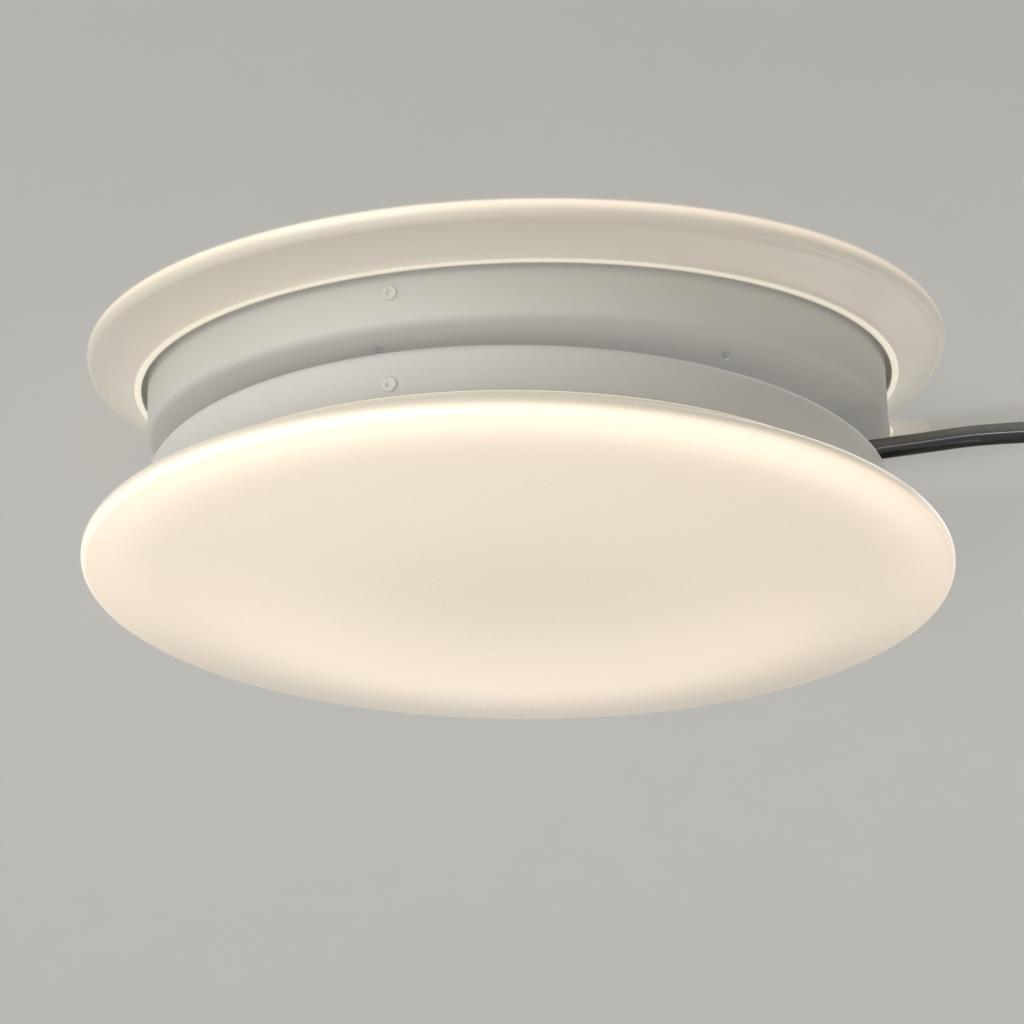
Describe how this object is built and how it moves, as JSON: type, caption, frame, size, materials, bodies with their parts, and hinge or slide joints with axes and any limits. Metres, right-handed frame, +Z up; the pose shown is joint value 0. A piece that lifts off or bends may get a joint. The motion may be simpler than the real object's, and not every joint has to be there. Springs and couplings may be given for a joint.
{
  "type": "ceiling light",
  "caption": "Round LED ceiling light: an opal domed diffuser clipped round a white steel pan on a ceiling bar, with light board, driver and supply cable",
  "frame": {"origin": "on the ceiling plane, over the middle of the flat of the ceiling bar", "axes": "+Z up into the ceiling, so the lit face looks along -Z; +X towards the side where the supply cable leaves; the ceiling bar runs along Y"},
  "size_m": [0.504, 0.4, 0.072],
  "materials": {
    "opal_acrylic": "opal acrylic, lit from inside, satin",
    "white_paint": "white powder coat, satin",
    "zinc_steel": "zinc plated steel",
    "spring_steel": "tempered spring steel",
    "rivet_steel": "painted steel rivet",
    "brass": "brass",
    "black_rubber": "moulded rubber",
    "black_sheath": "smooth vinyl cable sheath",
    "white_mask": "white solder mask on aluminium",
    "white_shell": "moulded white plastic",
    "circuit_laminate": "green circuit laminate",
    "ferrite": "ferrite core and tape",
    "capacitor_sleeve": "shrunk sleeve",
    "copper_winding": "enamelled copper wire",
    "brown_wire": "vinyl insulation",
    "blue_wire": "vinyl insulation",
    "green_wire": "vinyl insulation",
    "red_wire": "vinyl insulation",
    "black_wire": "vinyl insulation"
  },
  "bodies": {
    "base": {"ceiling_bar": "zinc_steel", "base_pan": "white_paint", "light_board": "white_mask", "spring_clip_1": "spring_steel", "spring_clip_2": "spring_steel", "spring_clip_3": "spring_steel", "clip_rivet_1": "rivet_steel", "clip_rivet_2": "rivet_steel", "clip_rivet_3": "rivet_steel", "pan_screw_1": "zinc_steel", "pan_screw_2": "zinc_steel", "board_screw_1": "zinc_steel", "board_screw_2": "zinc_steel", "board_screw_3": "zinc_steel", "board_screw_4": "zinc_steel", "board_screw_5": "zinc_steel", "board_screw_6": "zinc_steel", "driver_tray": "white_shell", "driver_lid": "white_shell", "driver_board": "circuit_laminate", "driver_transformer": "ferrite", "driver_capacitor": "capacitor_sleeve", "driver_choke": "copper_winding", "driver_screw_1": "zinc_steel", "driver_screw_2": "zinc_steel", "terminal_block": "white_shell", "terminal_block_screw": "zinc_steel", "terminal_screw_1": "brass", "terminal_screw_2": "brass", "terminal_screw_3": "brass", "terminal_screw_4": "brass", "terminal_screw_5": "brass", "terminal_screw_6": "brass", "cable_grommet": "black_rubber", "cord_grip_block": "white_shell", "cord_grip_bar": "white_shell", "cord_grip_screw_1": "zinc_steel", "cord_grip_screw_2": "zinc_steel", "earth_tag": "zinc_steel", "earth_screw": "brass", "cable_end": "black_sheath", "core_live": "brown_wire", "core_neutral": "blue_wire", "core_earth": "green_wire", "driver_lead_live": "brown_wire", "driver_lead_neutral": "blue_wire", "earth_wire": "green_wire", "board_lead_positive": "red_wire", "board_lead_negative": "black_wire", "supply_cable": "black_sheath", "ceiling_box": "white_shell", "ceiling_box_lid": "white_shell", "ceiling_box_screw": "zinc_steel"},
    "diffuser": {"diffuser": "opal_acrylic"}
  },
  "joints": [
    {"name": "diffuser_pull", "type": "slide", "parent": "base", "child": "diffuser", "axis": [0, 0, -1], "range_m": [0, 0.08], "deforming": ["spring_clip_1", "spring_clip_2", "spring_clip_3"]}
  ]
}
